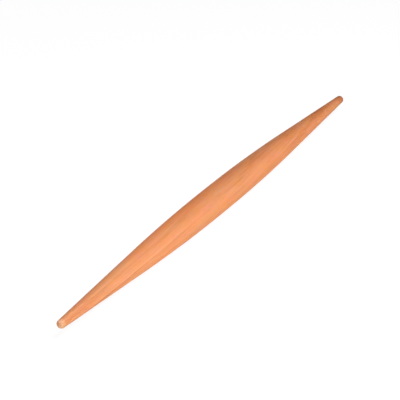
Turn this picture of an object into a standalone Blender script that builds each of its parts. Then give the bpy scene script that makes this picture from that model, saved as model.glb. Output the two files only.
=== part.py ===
"""One-piece tapered rolling pin for dumpling wrappers and flatbreads.

The whole object is one length of close-grained hardwood, turned between centres. The middle keeps a
short parallel land, swells away from it on an even curve, and runs out in two straight tapers to
small rounded tips. Each tip ends in the little flat left where the waste stub was cut off. The palms
roll the pin on its tapers, and nothing on it turns, slides or comes apart.

Frame: metres, +X along the pin, +Z up. The origin is under the middle of the belly, on the surface
that the pin lies on.
"""

import math

import bmesh
import bpy

MM = 0.001

# Driving dimensions
PIN_LENGTH = 580 * MM
BELLY_DIAMETER = 28 * MM
LAND_LENGTH = 16 * MM  # parallel stretch in the middle of the belly
SWELL_LENGTH = 304 * MM  # belly from taper to taper, land included
TIP_DIAMETER = 7.7 * MM  # across the tapers where they would reach the end planes
END_FLAT_DIAMETER = 1.6 * MM

# How finely the round shapes are faceted
SIDES = 48
SWELL_STEPS = 11
ROUND_STEPS = 7
MERGE_DISTANCE = 0.001 * MM

# Radii and half lengths that the profile is drawn from
HALF_LENGTH = PIN_LENGTH / 2
BELLY_RADIUS = BELLY_DIAMETER / 2
TIP_RADIUS = TIP_DIAMETER / 2
END_FLAT_RADIUS = END_FLAT_DIAMETER / 2
LAND_END = LAND_LENGTH / 2
SWELL_END = SWELL_LENGTH / 2
SWELL_RUN = SWELL_END - LAND_END
TAPER_RUN = HALF_LENGTH - SWELL_END

# Sanded hardwood, as the photo shows it
WOOD_COLOUR = (0.75, 0.32, 0.16, 1.0)
WOOD_ROUGHNESS = 0.55

# Radius that a taper loses for each unit of length. The swell's slope grows evenly from nothing at
# the land to this value, so that the two meet without a corner.
TAPER_SLOPE = (BELLY_RADIUS - TIP_RADIUS) / (SWELL_RUN / 2 + TAPER_RUN)


def swell_points():
    """(x, radius) from the end of the land to the start of the taper."""
    points = []
    for step in range(SWELL_STEPS + 1):
        run = SWELL_RUN * step / SWELL_STEPS
        drop = TAPER_SLOPE * run**2 / (2 * SWELL_RUN)
        points.append((LAND_END + run, BELLY_RADIUS - drop))
    return points


def tip_points():
    """(x, radius) round the tip, from the end of the taper to the rim of the end flat.

    The arc touches both the taper and the end plane, and its radius fills the width between the
    taper and the flat's rim.
    """
    taper_angle = math.atan(TAPER_SLOPE)
    round_radius = (TIP_RADIUS - END_FLAT_RADIUS) * math.cos(taper_angle) / (1 - math.sin(taper_angle))
    centre_x = HALF_LENGTH - round_radius
    points = []
    for step in range(ROUND_STEPS + 1):
        angle = taper_angle + (math.pi / 2 - taper_angle) * step / ROUND_STEPS
        x = centre_x + round_radius * math.sin(angle)
        radius = END_FLAT_RADIUS + round_radius * math.cos(angle)
        points.append((x, radius))
    return points


def pin_profile():
    """(x, radius) of the whole outline, from the left end's centre to the right end's centre."""
    right_half = swell_points() + tip_points() + [(HALF_LENGTH, 0)]
    left_half = [(-x, radius) for x, radius in reversed(right_half)]
    return left_half + right_half


def turned_mesh(name, profile):
    """The profile spun round the X axis, with a facet, not an edge, underneath.

    The facets touch the true circle at their middles, so the size across flats is the true diameter.
    """
    half_facet = math.pi / SIDES
    corner_factor = 1 / math.cos(half_facet)
    bm = bmesh.new()
    outline = []
    for x, radius in profile:
        corner = radius * corner_factor
        outline.append(bm.verts.new((x, corner * math.sin(half_facet), corner * math.cos(half_facet))))
    edges = [bm.edges.new(pair) for pair in zip(outline, outline[1:])]
    bmesh.ops.spin(
        bm,
        geom=outline + edges,
        cent=(0, 0, 0),
        axis=(1, 0, 0),
        angle=2 * math.pi,
        steps=SIDES,
    )
    bmesh.ops.remove_doubles(bm, verts=bm.verts, dist=MERGE_DISTANCE)
    bmesh.ops.recalc_face_normals(bm, faces=bm.faces)
    mesh = bpy.data.meshes.new(name)
    bm.to_mesh(mesh)
    bm.free()
    mesh.shade_smooth()
    return mesh


def wood_material():
    material = bpy.data.materials.new("sanded_hardwood")
    material.use_nodes = True
    surface = material.node_tree.nodes["Principled BSDF"]
    surface.inputs["Base Color"].default_value = WOOD_COLOUR
    surface.inputs["Roughness"].default_value = WOOD_ROUGHNESS
    surface.inputs["Metallic"].default_value = 0
    return material


def build_turned_pin():
    """The pin, lying level on its belly."""
    mesh = turned_mesh("turned_pin", pin_profile())
    mesh.materials.append(wood_material())
    pin = bpy.data.objects.new("turned_pin", mesh)
    pin.location = (0, 0, BELLY_RADIUS)
    bpy.context.scene.collection.objects.link(pin)
    return pin


def main():
    for leftover in list(bpy.data.objects):
        bpy.data.objects.remove(leftover)
    build_turned_pin()


main()
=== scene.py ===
"""Looks of the tapered wooden rolling pin: its surface, its wood, the floor, the lamps and the camera.

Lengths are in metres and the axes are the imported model's: +X along the pin, +Z up, and the floor at zero
height. The wood's own pattern is worked out in millimetres.
"""

import math

import bpy
from mathutils import Matrix, Vector


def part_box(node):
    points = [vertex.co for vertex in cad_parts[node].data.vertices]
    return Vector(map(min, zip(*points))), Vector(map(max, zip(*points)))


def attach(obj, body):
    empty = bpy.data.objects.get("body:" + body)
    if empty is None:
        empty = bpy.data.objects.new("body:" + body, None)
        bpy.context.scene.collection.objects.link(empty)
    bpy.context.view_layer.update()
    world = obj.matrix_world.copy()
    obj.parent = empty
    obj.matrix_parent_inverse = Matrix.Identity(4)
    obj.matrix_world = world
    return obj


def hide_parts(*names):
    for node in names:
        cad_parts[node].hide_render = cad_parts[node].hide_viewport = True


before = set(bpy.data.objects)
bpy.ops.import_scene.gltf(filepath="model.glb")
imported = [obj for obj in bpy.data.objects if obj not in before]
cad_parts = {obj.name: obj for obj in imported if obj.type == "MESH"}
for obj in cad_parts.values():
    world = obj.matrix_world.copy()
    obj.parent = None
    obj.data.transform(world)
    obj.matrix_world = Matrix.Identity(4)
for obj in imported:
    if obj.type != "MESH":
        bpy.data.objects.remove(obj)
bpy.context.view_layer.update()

MM = 0.001
PIN_NODE = "turned_pin"

# The pin's outline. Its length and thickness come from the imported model.
LAND_LENGTH = 16 * MM  # parallel stretch in the middle of the belly
SWELL_LENGTH = 304 * MM  # belly from taper to taper, land included
TIP_DIAMETER = 7.7 * MM  # across the tapers where they would reach the end planes
END_FLAT_DIAMETER = 1.6 * MM

# How finely the outline is drawn and spun
SPIN_STEPS = 160
LAND_STEPS = 8
SWELL_STEPS = 64
TAPER_STEPS = 62
ROUND_STEPS = 16
FLAT_STEPS = 2
MERGE_DISTANCE = 0.001 * MM

# Faint long waves that sanding leaves on the turned surface
WAVE_LENGTH = 45 * MM
WAVE_WIDTH = 9 * MM
WAVE_DEPTH = 0.12 * MM

# From here to the camera, lengths are in millimetres. Places are measured from the pin's middle where their
# comment doesn't say otherwise.

# Where the pin lay in the tree: the pith's place beside the pin, and how far the pin leans out of the grain
PITH_ACROSS = -8
PITH_UP = -71
GRAIN_TILT = math.radians(2.74)

# Growth layers. The years inside the inner radius grew thicker.
LAYER_THICKNESS = 6.3
INNER_LAYER_THICKNESS = 11
INNER_RADIUS = 68.7
FIRST_OUTER_YEAR = 876  # each year's number draws how dark its late wood is
EARLY_WOOD_SHARE = 0.9  # of the late wood's darkness

# How far the layers swing out of true in all, in slow waves and in short ripples
WANDER_DEPTH = 1.0
RIPPLE_DEPTH = 0.5

# Where along the pin the layers' contrast falls from the left end to the middle, and where the dark wood's
# contrast rises again to the right end
LEFT_CONTRAST = (-190, 20)
RIGHT_CONTRAST = (60, 240)
MIDDLE_CONTRAST = 0.3  # against the ends

# Patterns of soft noise: lengths along and across over which each repeats, its detail and its roughness
WANDER_NOISE = (190, 24, 1, 0.5)
RIPPLE_NOISE = (45, 6, 1, 0.5)
CLOUD_NOISE = (85, 13, 1, 0.5)
RED_NOISE = (34, 7, 2, 0.5)
GREY_NOISE = (22, 6, 2, 0.5)
STREAK_NOISE = (70, 1.5, 3, 0.6)
FIBRE_NOISE = (15, 0.28, 2, 0.6)
SANDING_NOISE = (0.3, 14, 1, 0.5)
SHEEN_NOISE = (50, 16, 2, 0.5)

# Ray flecks: their spacing along, round and out from the pith, half their size as shares of that spacing,
# and the shares of the half size between which a fleck's edge fades
RAY_SPACING = (2.7, 0.95, 7)
RAY_HALF_SHARES = (0.42, 0.09, 0.45)
RAY_EDGE_SHARES = (0.6, 1.0)

# Vessels that the turned surface cuts open: their spacing along and across the grain, and the shares of it
# between which a vessel's edge fades
PORE_SPACING = (11, 0.5)
PORE_EDGE_SHARES = (0.08, 0.19)

# Heights above the pith between which the wood turns from heartwood to sapwood
HEARTWOOD_EDGE = (63, 86)

# Painted shade: a redder, deeper stripe along the pin's upper back, where its top flank lies in shade: its
# middle, and how far it reaches each way
SHADED_TOP_PLACE = (-90, 4, 13)
SHADED_TOP_REACH = (220, 12, 12)

# Heights between which the pin's low side loses its yellower tint, painted light that stands in for how
# light falls there and not for the wood
PAINTED_LOW_SIDE = (-7, 5)

# Where along the pin the end grain of the two tips starts and ends
LEFT_END_GRAIN = (-290.3, -284)
RIGHT_END_GRAIN = (270, 290.3)

# What the wood's red, green and blue are multiplied by: the sapwood's factors, and what is added to them.
# Some of these add painted light and shade: on the upper back, the low side and the two ends.
SAPWOOD_TINT = (1, 1.03, 1.09)
HEARTWOOD_TINT = (0.02, -0.08, -0.20)
RED_PATCH_TINT = (0.10, -0.28, -0.20)
GREY_PATCH_TINT = (-0.03, 0.08, 0.95)
# Painted shade along the upper back
SHADED_TOP_TINT = (0.14, -0.07, -0.30)
# Painted light: the low side's yellower tint
PAINTED_LOW_SIDE_TINT = (0.01, 0.06, -0.10)
# Partly the end grain's paler colour, partly painted light on the left end, which faces a lamp
LEFT_END_GRAIN_AND_LIGHT = (0.16, 0.52, 1.05)
# Painted shade: the right end, turned away from the lamps, is darkened
SHADED_RIGHT_END = (-0.34, -0.40, -0.34)

# The wood's tone, from 0 for the darkest line to 1 for the palest streak, and what each pattern adds to it
PLAIN_TONE = 0.53
LAYER_TONE = -0.15
CLOUD_TONE = 0.26
STREAK_TONE = 0.42
FIBRE_TONE = 0.30
RAY_TONE = -0.10
PORE_TONE = -0.16

# The wood's roughness, and what each pattern adds to it
PLAIN_ROUGHNESS = 0.52
SHEEN_ROUGHNESS = 0.14
PORE_ROUGHNESS = 0.12
END_GRAIN_ROUGHNESS = 0.14
RAY_ROUGHNESS = -0.06
SANDING_ROUGHNESS = 0.10

# How far each pattern stands out of the surface
FIBRE_HEIGHT = 0.012
PORE_HEIGHT = -0.02
RAY_HEIGHT = 0.006
LAYER_HEIGHT = -0.006
SANDING_HEIGHT = 0.006

# Bare wood mirrors little
WOOD_SPECULAR = 0.12

# Colour of each tone
WOOD_TONES = (
    (0.00, (0.36, 0.092, 0.030, 1)),
    (0.30, (0.62, 0.200, 0.069, 1)),
    (0.50, (0.78, 0.289, 0.113, 1)),
    (0.70, (0.85, 0.339, 0.150, 1)),
    (1.00, (0.93, 0.440, 0.240, 1)),
)

# How pale the early wood and how dark the late wood is through one growth layer
EARLY_WOOD = (
    (0.00, (0.50, 0.50, 0.50, 1)),
    (0.06, (1.00, 1.00, 1.00, 1)),
    (0.16, (1.00, 1.00, 1.00, 1)),
    (0.34, (0.30, 0.30, 0.30, 1)),
    (0.60, (0.00, 0.00, 0.00, 1)),
    (0.97, (0.00, 0.00, 0.00, 1)),
)
LATE_WOOD = (
    (0.00, (0.30, 0.30, 0.30, 1)),
    (0.04, (0.00, 0.00, 0.00, 1)),
    (0.58, (0.00, 0.00, 0.00, 1)),
    (0.78, (0.70, 0.70, 0.70, 1)),
    (0.88, (1.00, 1.00, 1.00, 1)),
    (0.95, (1.00, 1.00, 1.00, 1)),
)

# Where the photograph shows the pin. Its picture is 400 pixels wide and high.
PHOTO_SIZE = 400
PIN_MIDDLE_COLUMN = 216.94
PIN_MIDDLE_ROW = 198.37
PIXELS_PER_METRE = 1078.3
CAMERA_DISTANCE = 1.963
CAMERA_AZIMUTH = math.radians(-63.26)  # 0 looks along +Y
CAMERA_ELEVATION = math.radians(23.64)
SENSOR_WIDTH = 36  # camera millimetres

# Round lamps that all face the pin's middle: name, place, width in metres and power in watts
LAMPS = (
    ("key", (-0.18, -0.38, 0.8), 0.5, 5.6),
    ("low_front", (-0.3, -2.2, 0.3), 0.5, 13.3),
    ("near_left", (-1.7, -0.5, 0.5), 1.0, 10.95),
    ("right_front", (1.25, -0.85, 0.3), 0.5, 2.4),
    ("low_back", (0.2, 1.7, 0.6), 0.8, 5.2),
)
ROOM_GLOW = 0.01

# The floor and the low wall round its edge, in metres, and the white paper on both
FLOOR_SIZE = 40
WALL_HEIGHT = 4
WALL_SIDES = 96
PAPER_COLOUR = (0.9, 0.9, 0.9, 1)
PAPER_GLOW = 1.15
PAPER_GLOW_SHARE = 0.8

WHITE = (1, 1, 1, 1)


class Wire:
    """A shader output that takes part in sums: each operator adds its Math node."""

    def __init__(self, shader, socket):
        self.shader = shader
        self.socket = socket

    def __add__(self, other):
        return self.shader.sum("ADD", self, other)

    def __sub__(self, other):
        return self.shader.sum("SUBTRACT", self, other)

    def __rsub__(self, other):
        return self.shader.sum("SUBTRACT", other, self)

    def __mul__(self, other):
        return self.shader.sum("MULTIPLY", self, other)

    __radd__ = __add__
    __rmul__ = __mul__


class Shader:
    """One material's node tree, with one method that adds any node."""

    def __init__(self, name):
        self.material = bpy.data.materials.new(name)
        self.material.use_nodes = True
        self.tree = self.material.node_tree
        self.tree.nodes.clear()

    def add(self, kind, settings=None, inputs=None, output=None):
        """Adds a node, makes its settings, then fills its sockets with values or wires. Returns one output.

        Sockets go by name, or by number where the names repeat.
        """
        node = self.tree.nodes.new(kind)
        for name, value in (settings or {}).items():
            if name == "stops":
                self.set_stops(node.color_ramp, value)
            else:
                setattr(node, name, value)
        for name, value in (inputs or {}).items():
            socket = node.inputs[name] if isinstance(name, int) else first_enabled(node.inputs, name)
            if isinstance(value, Wire):
                self.tree.links.new(value.socket, socket)
            else:
                socket.default_value = value
        if not node.outputs:
            return None
        return Wire(self, first_enabled(node.outputs, output))

    @staticmethod
    def set_stops(ramp, stops):
        """Gives a colour ramp its positions and colours."""
        while len(ramp.elements) < len(stops):
            ramp.elements.new(0.5)
        for element, (position, colour) in zip(ramp.elements, stops):
            element.position = position
            element.color = colour

    def sum(self, operation, left, right=0.0):
        """A Math node."""
        return self.add("ShaderNodeMath", {"operation": operation}, {0: left, 1: right})

    def vector_sum(self, operation, left, right=(0, 0, 0), third=(0, 0, 0), output="Vector"):
        """A Vector Math node."""
        inputs = {0: left, 1: right, 2: third}
        return self.add("ShaderNodeVectorMath", {"operation": operation}, inputs, output)

    def coordinate(self, place, axis):
        """How far a place lies along one axis."""
        return self.add("ShaderNodeSeparateXYZ", None, {"Vector": place}, axis)

    def distance(self, place, centre, unit):
        """How far a place is from the centre, in units that have their own length on each axis."""
        offset = self.vector_sum("SUBTRACT", place, centre)
        return self.vector_sum("LENGTH", self.vector_sum("DIVIDE", offset, unit), output="Value")

    def fade(self, value, start, end):
        """1 where the value is under the start, 0 where it is past the end, and smooth between them."""
        return self.add("ShaderNodeMapRange", {"interpolation_type": "SMOOTHSTEP"}, {
            "Value": value, "From Min": start, "From Max": end, "To Min": 1, "To Max": 0,
        })

    def noise(self, place, pattern):
        """Soft noise round 0, with a length of its own along and across."""
        along, across, detail, roughness = pattern
        stretched = self.vector_sum("MULTIPLY", place, (1 / along, 1 / across, 1 / across))
        noise = self.add("ShaderNodeTexNoise", {"noise_dimensions": "3D"}, {
            "Vector": stretched, "Scale": 1, "Detail": detail, "Roughness": roughness,
        })
        return noise - 0.5

    def finish(self, surface):
        """Puts the surface on the material's output."""
        self.add("ShaderNodeOutputMaterial", None, {"Surface": surface})
        return self.material


def first_enabled(sockets, name):
    """The first socket in use that has this name, or the first in use where no name is given."""
    return next(socket for socket in sockets if socket.enabled and name in (None, socket.name))


def deselect_all():
    bpy.ops.object.select_all(action="DESELECT")


def pin_outline(half_length, belly_radius):
    """(x, radius) from the left end's centre to the right end's centre."""
    tip_radius = TIP_DIAMETER / 2
    flat_radius = END_FLAT_DIAMETER / 2
    land_end = LAND_LENGTH / 2
    swell_run = SWELL_LENGTH / 2 - land_end
    taper_run = half_length - SWELL_LENGTH / 2
    slope = (belly_radius - tip_radius) / (swell_run / 2 + taper_run)
    angle = math.atan(slope)
    round_radius = (tip_radius - flat_radius) * math.cos(angle) / (1 - math.sin(angle))
    round_x = half_length - round_radius
    round_start = round_x + round_radius * math.sin(angle)

    points = []
    for step in range(1, LAND_STEPS + 1):
        points.append((land_end * step / LAND_STEPS, belly_radius))
    for step in range(1, SWELL_STEPS + 1):
        run = swell_run * step / SWELL_STEPS
        points.append((land_end + run, belly_radius - slope * run**2 / (2 * swell_run)))
    swell_end, swell_end_radius = points[-1]
    for step in range(1, TAPER_STEPS):
        run = (round_start - swell_end) * step / TAPER_STEPS
        points.append((swell_end + run, swell_end_radius - slope * run))
    for step in range(ROUND_STEPS + 1):
        turn = angle + (math.pi / 2 - angle) * step / ROUND_STEPS
        x = round_x + round_radius * math.sin(turn)
        points.append((x, flat_radius + round_radius * math.cos(turn)))
    for step in range(1, FLAT_STEPS + 1):
        points.append((half_length, flat_radius * (1 - step / FLAT_STEPS)))
    left_half = [(-x, radius) for x, radius in reversed(points)]
    return left_half + [(0, belly_radius)] + points


def turn_pin(name, low, high):
    """Draws the outline above the pin's axis and spins it round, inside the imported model's box."""
    middle = (low + high) / 2
    outline = pin_outline((high.x - low.x) / 2, (high.z - low.z) / 2)
    deselect_all()
    start = middle + Vector((outline[0][0], 0, outline[0][1]))
    bpy.ops.mesh.primitive_plane_add(size=MM, location=start)
    pin = bpy.context.object
    pin.name = name
    pin.data.name = name
    bpy.ops.object.transform_apply(location=True, rotation=True, scale=True)
    bpy.ops.object.mode_set(mode="EDIT")
    bpy.ops.mesh.select_all(action="SELECT")
    bpy.ops.mesh.merge(type="CENTER")
    for (x, radius), (next_x, next_radius) in zip(outline, outline[1:]):
        step = (next_x - x, 0, next_radius - radius)
        bpy.ops.mesh.extrude_vertices_move(TRANSFORM_OT_translate={"value": step})
    bpy.ops.mesh.select_all(action="SELECT")
    bpy.ops.mesh.spin(steps=SPIN_STEPS, angle=2 * math.pi, center=middle, axis=(1, 0, 0))
    bpy.ops.mesh.select_all(action="SELECT")
    bpy.ops.mesh.remove_doubles(threshold=MERGE_DISTANCE)
    bpy.ops.mesh.normals_make_consistent(inside=False)
    bpy.ops.object.mode_set(mode="OBJECT")
    bpy.ops.object.shade_smooth()
    return pin


def sand_by_hand(pin):
    """Moves the surface in and out by the faint waves that sanding leaves along the grain."""
    deselect_all()
    bpy.ops.object.empty_add(location=(0, 0, 0))
    stretch = bpy.context.object
    stretch.scale = (WAVE_LENGTH, WAVE_WIDTH, WAVE_WIDTH)
    waves = bpy.data.textures.new("sanding_waves", "CLOUDS")
    waves.noise_scale = 1
    waves.noise_depth = 1
    deselect_all()
    pin.select_set(True)
    bpy.context.view_layer.objects.active = pin
    bpy.ops.object.modifier_add(type="DISPLACE")
    modifier = pin.modifiers[-1]
    modifier.texture = waves
    modifier.texture_coords = "OBJECT"
    modifier.texture_coords_object = stretch
    modifier.mid_level = 0.5
    modifier.strength = WAVE_DEPTH
    bpy.ops.object.modifier_apply(modifier=modifier.name)
    bpy.data.objects.remove(stretch)
    bpy.data.textures.remove(waves)


def growth_layers(shader, tree_place, radius):
    """Under 0 in pale early wood and over 0 in the dark wood that ends a year's growth."""
    wander = WANDER_DEPTH * shader.noise(tree_place, WANDER_NOISE)
    ripple = RIPPLE_DEPTH * shader.noise(tree_place, RIPPLE_NOISE)
    reach = radius + wander + ripple - INNER_RADIUS
    inner_years = shader.sum("MINIMUM", reach, 0) * (1 / INNER_LAYER_THICKNESS)
    outer_years = shader.sum("MAXIMUM", reach, 0) * (1 / LAYER_THICKNESS)
    years = inner_years + outer_years + FIRST_OUTER_YEAR
    share = shader.sum("FRACT", years)
    number = shader.sum("FLOOR", years)
    strength = shader.add("ShaderNodeTexWhiteNoise", {"noise_dimensions": "1D"}, {"W": number}, "Value")
    early = shader.add("ShaderNodeValToRGB", {"stops": EARLY_WOOD}, {"Fac": share})
    late = shader.add("ShaderNodeValToRGB", {"stops": LATE_WOOD}, {"Fac": share})
    along = shader.coordinate(tree_place, "X")
    left = shader.fade(along, *LEFT_CONTRAST)
    right = 1 - shader.fade(along, *RIGHT_CONTRAST)
    early_contrast = MIDDLE_CONTRAST + (1 - MIDDLE_CONTRAST) * left
    late_contrast = early_contrast + (1 - MIDDLE_CONTRAST) * right
    return late * strength * strength * late_contrast - EARLY_WOOD_SHARE * early * early_contrast


def ray_flecks(shader, tree_place, radius):
    """Up to 1 inside the thin plates of ray cells that run out from the pith."""
    along = shader.coordinate(tree_place, "X")
    angle = shader.sum("ARCTAN2", shader.coordinate(tree_place, "Y"), shader.coordinate(tree_place, "Z"))
    turn = angle * math.hypot(PITH_ACROSS, PITH_UP)
    step_along, step_round, step_out = RAY_SPACING
    grid = shader.add("ShaderNodeCombineXYZ", None, {
        "X": along * (1 / step_along), "Y": turn * (1 / step_round), "Z": radius * (1 / step_out),
    })
    cells = {"Vector": grid, "Scale": 1}
    cell = shader.add("ShaderNodeTexVoronoi", {"voronoi_dimensions": "3D"}, cells, "Position")
    distance = shader.distance(grid, cell, RAY_HALF_SHARES)
    strength = shader.add("ShaderNodeTexWhiteNoise", {"noise_dimensions": "3D"}, {"Vector": cell}, "Value")
    return shader.fade(distance, *RAY_EDGE_SHARES) * strength


def open_pores(shader, tree_place):
    """1 inside the fine vessels that the turned surface cuts open."""
    along, across = PORE_SPACING
    grid = shader.vector_sum("MULTIPLY", tree_place, (1 / along, 1 / across, 1 / across))
    cells = {"Vector": grid, "Scale": 1}
    distance = shader.add("ShaderNodeTexVoronoi", {"voronoi_dimensions": "3D"}, cells)
    return shader.fade(distance, *PORE_EDGE_SHARES)


def wood_tint(shader, pin_place, tree_place, left_end, right_end):
    """What the wood's red, green and blue are multiplied by, from place to place, with painted light and
    shade on the upper back, the low side and the two ends.
    """
    tint = SAPWOOD_TINT
    for amount, change in (
        (shader.fade(shader.coordinate(tree_place, "Z"), *HEARTWOOD_EDGE), HEARTWOOD_TINT),
        (shader.noise(tree_place, RED_NOISE), RED_PATCH_TINT),
        (shader.noise(pin_place, GREY_NOISE), GREY_PATCH_TINT),
        # painted shade: a redder, deeper stripe along the upper back
        (shader.fade(shader.distance(pin_place, SHADED_TOP_PLACE, SHADED_TOP_REACH), 0, 1), SHADED_TOP_TINT),
        # painted light: a yellower tint on the low side
        (shader.fade(shader.coordinate(pin_place, "Z"), *PAINTED_LOW_SIDE), PAINTED_LOW_SIDE_TINT),
        # partly the end grain's paler colour, partly painted light on the left end
        (left_end, LEFT_END_GRAIN_AND_LIGHT),
        # painted shade on the right end
        (right_end, SHADED_RIGHT_END),
    ):
        tint = shader.vector_sum("MULTIPLY_ADD", amount, change, tint)
    return tint


def sanded_wood(pin_middle):
    """Bare hardwood, turned and sanded, with the growth layers of the tree it was cut from."""
    shader = Shader("sanded_hardwood")
    coordinates = shader.add("ShaderNodeTexCoord", None, None, "Object")
    pin_place = shader.add("ShaderNodeMapping", None, {
        "Vector": coordinates,
        "Location": tuple(-place / MM for place in pin_middle),
        "Scale": (1 / MM, 1 / MM, 1 / MM),
    })
    tree_place = shader.add("ShaderNodeMapping", None, {
        "Vector": pin_place,
        "Location": (0, -PITH_ACROSS, -PITH_UP),
        "Rotation": (0, GRAIN_TILT, 0),
    })
    from_pith = shader.vector_sum("MULTIPLY", tree_place, (0, 1, 1))
    radius = shader.vector_sum("LENGTH", from_pith, output="Value")
    layers = growth_layers(shader, tree_place, radius)
    rays = ray_flecks(shader, tree_place, radius)
    pores = open_pores(shader, tree_place)
    fibres = shader.noise(tree_place, FIBRE_NOISE)
    sanding = shader.noise(pin_place, SANDING_NOISE)
    pin_along = shader.coordinate(pin_place, "X")
    left_end = shader.fade(pin_along, *LEFT_END_GRAIN)
    right_end = 1 - shader.fade(pin_along, *RIGHT_END_GRAIN)

    tone = (
        PLAIN_TONE
        + LAYER_TONE * layers
        + CLOUD_TONE * shader.noise(tree_place, CLOUD_NOISE)
        + STREAK_TONE * shader.noise(tree_place, STREAK_NOISE)
        + FIBRE_TONE * fibres
        + RAY_TONE * rays
        + PORE_TONE * pores
    )
    colour = shader.add("ShaderNodeValToRGB", {"stops": WOOD_TONES}, {"Fac": tone})
    tint = wood_tint(shader, pin_place, tree_place, left_end, right_end)
    roughness = (
        PLAIN_ROUGHNESS
        + SHEEN_ROUGHNESS * shader.noise(pin_place, SHEEN_NOISE)
        + PORE_ROUGHNESS * pores
        + END_GRAIN_ROUGHNESS * (left_end + right_end)
        + RAY_ROUGHNESS * rays
        + SANDING_ROUGHNESS * sanding
    )
    height = (
        FIBRE_HEIGHT * fibres
        + PORE_HEIGHT * pores
        + RAY_HEIGHT * rays
        + LAYER_HEIGHT * layers
        + SANDING_HEIGHT * sanding
    )
    surface = shader.add("ShaderNodeBsdfPrincipled", None, {
        "Base Color": shader.vector_sum("MULTIPLY", colour, tint),
        "Roughness": roughness,
        "Specular IOR Level": WOOD_SPECULAR,
        "Normal": shader.add("ShaderNodeBump", None, {"Height": height, "Strength": 1, "Distance": MM}),
    })
    return shader.finish(surface)


def seen_directly(shader):
    """1 for what the camera, a reflection or glass sees, and 0 for light that falls on something."""
    camera = shader.add("ShaderNodeLightPath", None, None, "Is Camera Ray")
    glossy = shader.add("ShaderNodeLightPath", None, None, "Is Glossy Ray")
    through = shader.add("ShaderNodeLightPath", None, None, "Is Transmission Ray")
    return shader.sum("MINIMUM", camera + glossy + through, 1)


def white_paper():
    """Shown white by itself, but lit by the lamps enough to keep the pin's shadow."""
    shader = Shader("white_paper")
    plain = shader.add("ShaderNodeBsdfDiffuse", None, {"Color": PAPER_COLOUR})
    shown = shader.add("ShaderNodeEmission", None, {"Color": WHITE, "Strength": PAPER_GLOW})
    share = PAPER_GLOW_SHARE * seen_directly(shader)
    return shader.finish(shader.add("ShaderNodeMixShader", None, {0: share, 1: plain, 2: shown}))


def lay_floor(paper):
    """A wide floor, with a low wall far off so that a low view ends on white as well."""
    deselect_all()
    bpy.ops.mesh.primitive_plane_add(size=FLOOR_SIZE, location=(0, 0, 0))
    floor = bpy.context.object
    floor.name = "floor"
    deselect_all()
    bpy.ops.mesh.primitive_cylinder_add(
        vertices=WALL_SIDES,
        radius=FLOOR_SIZE / 2,
        depth=WALL_HEIGHT,
        end_fill_type="NOTHING",
        location=(0, 0, WALL_HEIGHT / 2),
    )
    wall = bpy.context.object
    wall.name = "far_wall"
    bpy.ops.object.shade_smooth()
    for piece in (floor, wall):
        piece.data.materials.append(paper)


def hang_lamp(name, location, size, power, target):
    """A round lamp that faces the target and that the camera doesn't see."""
    light = bpy.data.lights.new(name, "AREA")
    light.shape = "DISK"
    light.size = size
    light.energy = power
    lamp = bpy.data.objects.new(name, light)
    lamp.location = location
    lamp.rotation_mode = "QUATERNION"
    lamp.rotation_quaternion = (Vector(target) - Vector(location)).to_track_quat("-Z", "Y")
    lamp.visible_camera = False
    bpy.context.scene.collection.objects.link(lamp)


def light_room(target):
    """Hangs the lamps and gives the room a weak even glow."""
    for name, location, size, power in LAMPS:
        hang_lamp(name, location, size, power, target)
    world = bpy.data.worlds.new("studio")
    bpy.context.scene.world = world
    world.use_nodes = True
    background = world.node_tree.nodes["Background"]
    background.inputs["Color"].default_value = WHITE
    background.inputs["Strength"].default_value = ROOM_GLOW


def set_camera(target):
    """Looks at the pin from where the photograph was taken."""
    cos_azimuth, sin_azimuth = math.cos(CAMERA_AZIMUTH), math.sin(CAMERA_AZIMUTH)
    cos_elevation, sin_elevation = math.cos(CAMERA_ELEVATION), math.sin(CAMERA_ELEVATION)
    right = Vector((cos_azimuth, sin_azimuth, 0))
    back = Vector((sin_azimuth * cos_elevation, -cos_azimuth * cos_elevation, sin_elevation))
    up = back.cross(right)
    aside = (PIN_MIDDLE_COLUMN - PHOTO_SIZE / 2) / PIXELS_PER_METRE
    above = (PHOTO_SIZE / 2 - PIN_MIDDLE_ROW) / PIXELS_PER_METRE
    data = bpy.data.cameras.new("camera")
    data.sensor_width = SENSOR_WIDTH
    data.lens = SENSOR_WIDTH * PIXELS_PER_METRE * CAMERA_DISTANCE / PHOTO_SIZE
    camera = bpy.data.objects.new("camera", data)
    place = target - right * aside - up * above + back * CAMERA_DISTANCE
    camera.matrix_world = Matrix.Translation(place) @ Matrix((right, up, back)).transposed().to_4x4()
    bpy.context.scene.collection.objects.link(camera)
    bpy.context.scene.camera = camera


low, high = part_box(PIN_NODE)
pin_middle = (low + high) / 2
pin = turn_pin("rolling_pin", low, high)
sand_by_hand(pin)
pin.data.materials.append(sanded_wood(pin_middle))
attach(pin, "root")
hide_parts(PIN_NODE)
lay_floor(white_paper())
light_room(pin_middle)
set_camera(pin_middle)
bpy.context.scene.view_settings.view_transform = "Standard"
